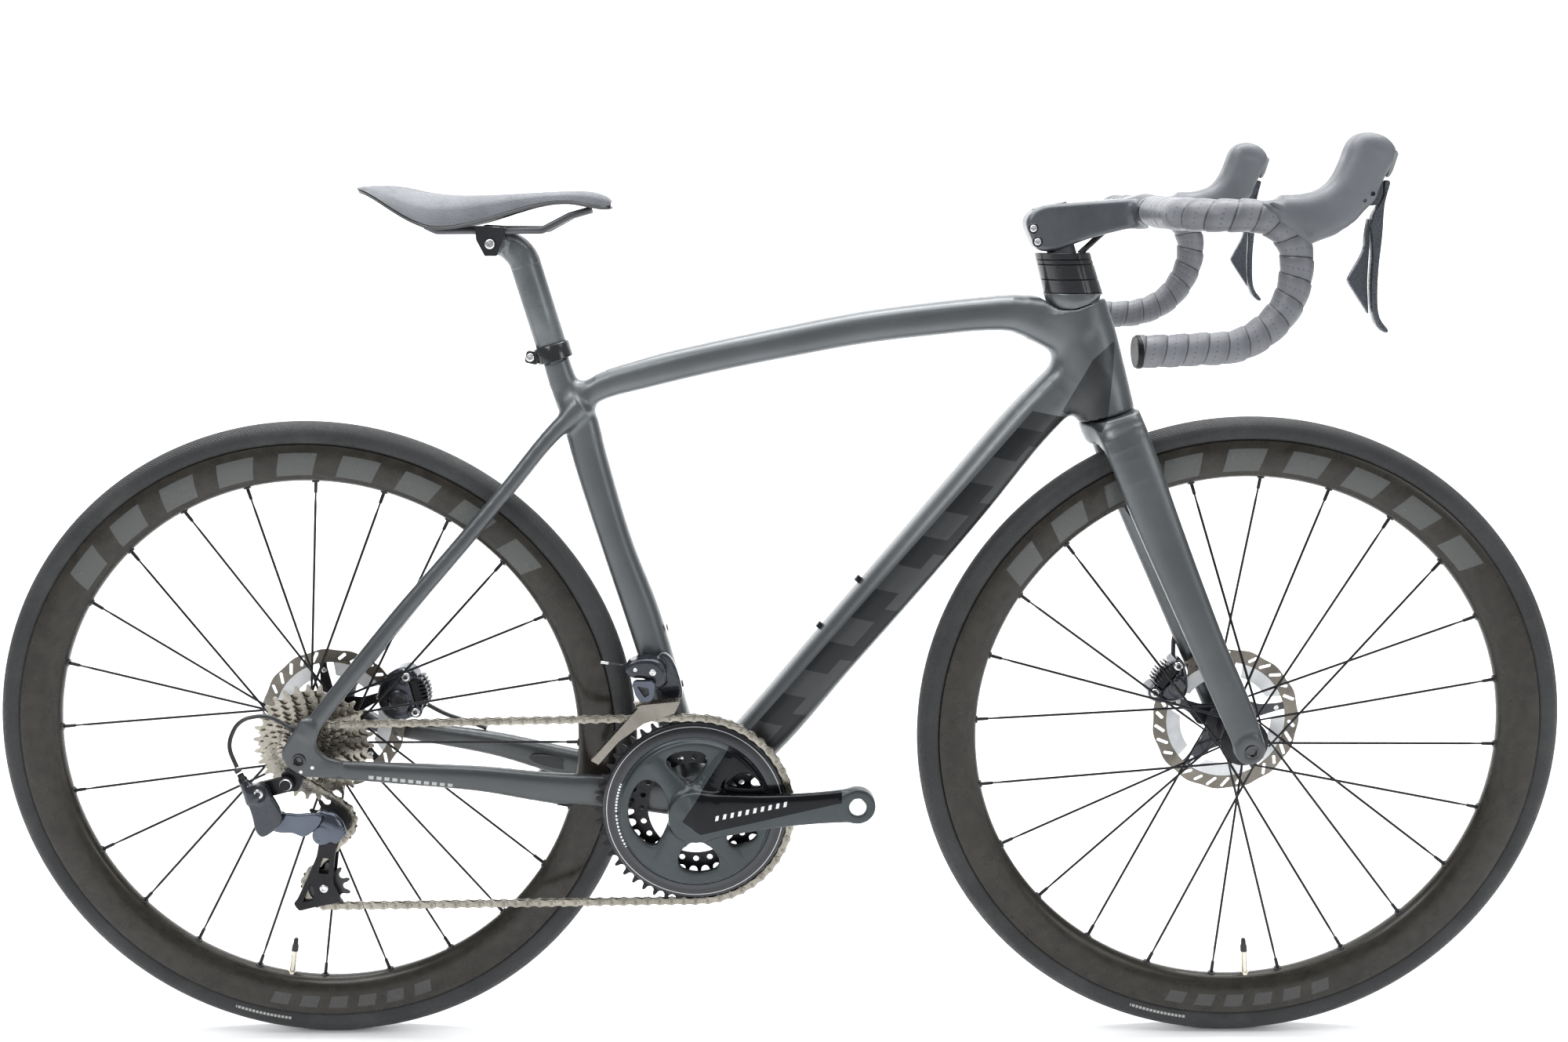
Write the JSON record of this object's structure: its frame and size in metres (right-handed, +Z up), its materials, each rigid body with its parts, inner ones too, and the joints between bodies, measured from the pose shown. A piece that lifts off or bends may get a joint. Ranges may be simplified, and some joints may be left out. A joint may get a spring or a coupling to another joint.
{
  "type": "road bicycle",
  "caption": "Drop-bar road bicycle with disc brakes: steering fork, spinning wheels, chainset, derailleurs, levers and a sliding saddle post.",
  "frame": {"origin": "on the ground in the mid plane, half way between the two axles", "axes": "+X forward to the front wheel, +Y to the rider's left (drive side is -Y), +Z up"},
  "size_m": [1.659, 0.422, 0.9618],
  "materials": {
    "frame": "satin graphite metallic paint over carbon",
    "black_gloss": "gloss black",
    "black_satin": "satin black",
    "carbon": "satin carbon",
    "tyre": "matt",
    "alloy_black": "black anodised",
    "alloy_silver": "silver anodised",
    "alloy_grey": "blue grey, glossy",
    "steel_black": "black",
    "steel": "nickel",
    "rubber": "matt",
    "tape": "textured wrap",
    "saddle": "pebbled synthetic cover",
    "pad": "sintered"
  },
  "bodies": {
    "frame": {"front_triangle": "frame", "rear_triangle": "frame", "headset": "steel", "bottom_bracket": "alloy_black", "derailleur_hanger": "alloy_black", "frame_bolts": "steel_black", "rear_axle": "alloy_black", "front_mech_base": "alloy_grey", "rear_cables": "black_satin", "rear_caliper": "alloy_grey", "chain": "steel"},
    "seatpost": {"seatpost": "carbon", "seat_collar": "black_gloss", "saddle_clamp": "alloy_black"},
    "saddle": {"saddle_cover": "saddle", "saddle_shell": "black_gloss", "saddle_rails": "carbon"},
    "steering": {"fork": "frame", "steering_spacers": "black_gloss", "stem": "black_satin", "handlebar": "carbon", "bar_tape": "tape", "lever_hoods": "rubber", "front_axle": "alloy_black", "front_caliper": "alloy_grey", "front_hoses": "black_satin"},
    "lever_right": {"lever_pivot_right": "alloy_black"},
    "lever_left": {"lever_pivot_left": "alloy_black"},
    "blade_right": {"brake_blade_right": "alloy_black"},
    "blade_left": {"brake_blade_left": "alloy_black"},
    "paddle_right": {"shift_paddle_right": "black_satin"},
    "paddle_left": {"shift_paddle_left": "black_satin"},
    "front_wheel": {"tyre_front": "tyre", "rim_front": "carbon", "spokes_front": "steel_black", "hub_front": "alloy_black", "rotor_front": "steel"},
    "rear_wheel": {"tyre_rear": "tyre", "rim_rear": "carbon", "spokes_rear": "steel_black", "hub_rear": "alloy_black", "rotor_rear": "steel"},
    "cassette": {"cassette": "steel", "freehub": "alloy_silver"},
    "crank": {"crank_arm_right": "alloy_grey", "crank_arm_left": "alloy_grey", "chainring_big": "alloy_grey", "chainring_small": "alloy_black"},
    "mech_knuckle": {"rear_mech_knuckle": "alloy_grey"},
    "mech_arms": {"rear_mech_arms": "alloy_grey"},
    "mech_lower": {"rear_mech_lower": "alloy_grey"},
    "mech_cage": {"rear_mech_cage": "alloy_black"},
    "guide_pulley": {"guide_pulley": "black_satin"},
    "tension_pulley": {"tension_pulley": "black_satin"},
    "front_mech": {"front_mech_link": "alloy_grey", "front_mech_cage": "steel"},
    "pad_front_left": {"front_pad_left": "pad"},
    "pad_front_right": {"front_pad_right": "pad"},
    "pad_rear_left": {"rear_pad_left": "pad"},
    "pad_rear_right": {"rear_pad_right": "pad"}
  },
  "joints": [
    {"name": "steering", "type": "hinge", "parent": "frame", "child": "steering", "pos_m": [0.3082, 0, 0.7946], "axis": [-0.2857, 0, 0.9583], "range_deg": [-55, 55]},
    {"name": "front_wheel_spin", "type": "hinge", "parent": "steering", "child": "front_wheel", "pos_m": [0.4895, 0, 0.34], "axis": [0, 1, 0], "continuous": true},
    {"name": "rear_wheel_spin", "type": "hinge", "parent": "frame", "child": "rear_wheel", "pos_m": [-0.4895, 0, 0.34], "axis": [0, 1, 0], "continuous": true},
    {"name": "crank_spin", "type": "hinge", "parent": "frame", "child": "crank", "pos_m": [-0.086, 0, 0.2725], "axis": [0, 1, 0], "continuous": true, "deforming": ["chain"]},
    {"name": "cassette_spin", "type": "hinge", "parent": "frame", "child": "cassette", "pos_m": [-0.4895, 0, 0.34], "axis": [0, 1, 0], "continuous": true},
    {"name": "tension_pulley_spin", "type": "hinge", "parent": "mech_cage", "child": "tension_pulley", "pos_m": [-0.47732, -0.051, 0.19081], "axis": [0, 1, 0], "continuous": true},
    {"name": "guide_pulley_spin", "type": "hinge", "parent": "mech_cage", "child": "guide_pulley", "pos_m": [-0.4665, -0.051, 0.263], "axis": [0, 1, 0], "continuous": true},
    {"name": "seatpost_slide", "type": "slide", "parent": "frame", "child": "seatpost", "axis": [-0.2773, 0, 0.9608], "range_m": [0, 0.04]},
    {"name": "saddle_slide", "type": "slide", "parent": "seatpost", "child": "saddle", "axis": [1, 0, 0], "range_m": [-0.012, 0.012]},
    {"name": "brake_lever_right", "type": "hinge", "parent": "steering", "child": "lever_right", "pos_m": [0.5194, -0.19, 0.9043], "axis": [0, 1, 0], "range_deg": [0, 15], "stiffness_Nm_per_rad": 2, "springref_deg": -5.73},
    {"name": "shift_blade_right", "type": "hinge", "parent": "lever_right", "child": "blade_right", "pos_m": [0.54, -0.19, 0.9], "axis": [1, 0, 0], "range_deg": [0, 15], "stiffness_Nm_per_rad": 0.5, "springref_deg": -2.86},
    {"name": "shift_paddle_right", "type": "hinge", "parent": "blade_right", "child": "paddle_right", "pos_m": [0.532, -0.19, 0.9], "axis": [1, 0, 0], "range_deg": [0, 12], "stiffness_Nm_per_rad": 0.3, "springref_deg": -2.86},
    {"name": "brake_lever_left", "type": "hinge", "parent": "steering", "child": "lever_left", "pos_m": [0.5194, 0.19, 0.9043], "axis": [0, 1, 0], "range_deg": [0, 15], "stiffness_Nm_per_rad": 2, "springref_deg": -5.73},
    {"name": "shift_blade_left", "type": "hinge", "parent": "lever_left", "child": "blade_left", "pos_m": [0.54, 0.19, 0.9], "axis": [-1, 0, 0], "range_deg": [0, 15], "stiffness_Nm_per_rad": 0.5, "springref_deg": -2.86},
    {"name": "shift_paddle_left", "type": "hinge", "parent": "blade_left", "child": "paddle_left", "pos_m": [0.532, 0.19, 0.9], "axis": [-1, 0, 0], "range_deg": [0, 12], "stiffness_Nm_per_rad": 0.3, "springref_deg": -2.86},
    {"name": "mech_hanger_pivot", "type": "hinge", "parent": "frame", "child": "mech_knuckle", "pos_m": [-0.5284, -0.084, 0.3093], "axis": [0, 1, 0], "range_deg": [0, 6], "stiffness_Nm_per_rad": 1.5, "springref_deg": -8.59},
    {"name": "mech_shift", "type": "hinge", "parent": "mech_knuckle", "child": "mech_arms", "pos_m": [-0.519, -0.08, 0.276], "axis": [0.3743, 0.4186, 0.8274], "range_deg": [-8, 28]},
    {"name": "mech_parallel", "type": "hinge", "parent": "mech_arms", "child": "mech_lower", "pos_m": [-0.48, -0.078, 0.2595], "axis": [0.3743, 0.4186, 0.8274], "range_deg": [-28, 8]},
    {"name": "mech_cage_pivot", "type": "hinge", "parent": "mech_lower", "child": "mech_cage", "pos_m": [-0.472, -0.066, 0.256], "axis": [0, 1, 0], "range_deg": [-45, 25]},
    {"name": "front_mech_shift", "type": "hinge", "parent": "frame", "child": "front_mech", "pos_m": [-0.137, -0.0475, 0.4115], "axis": [1, 0, 0], "range_deg": [0, 6], "stiffness_Nm_per_rad": 1, "springref_deg": -2.86},
    {"name": "pad_front_left_slide", "type": "slide", "parent": "steering", "child": "pad_front_left", "axis": [0, -1, 0], "range_m": [0, 0.0004]},
    {"name": "pad_front_right_slide", "type": "slide", "parent": "steering", "child": "pad_front_right", "axis": [0, 1, 0], "range_m": [0, 0.0004]},
    {"name": "pad_rear_left_slide", "type": "slide", "parent": "frame", "child": "pad_rear_left", "axis": [0, -1, 0], "range_m": [0, 0.0004]},
    {"name": "pad_rear_right_slide", "type": "slide", "parent": "frame", "child": "pad_rear_right", "axis": [0, 1, 0], "range_m": [0, 0.0004]}
  ],
  "couplings": [
    {"joint": "cassette_spin", "follows": "crank_spin", "ratio": 3.5714},
    {"joint": "tension_pulley_spin", "follows": "crank_spin", "ratio": 4.5455},
    {"joint": "guide_pulley_spin", "follows": "crank_spin", "ratio": -4.5455},
    {"joint": "mech_parallel", "follows": "mech_shift", "ratio": -1},
    {"joint": "pad_front_left_slide", "follows": "brake_lever_left", "m_per_rad": 0.0015},
    {"joint": "pad_front_right_slide", "follows": "brake_lever_left", "m_per_rad": 0.0015},
    {"joint": "pad_rear_left_slide", "follows": "brake_lever_right", "m_per_rad": 0.0015},
    {"joint": "pad_rear_right_slide", "follows": "brake_lever_right", "m_per_rad": 0.0015}
  ]
}
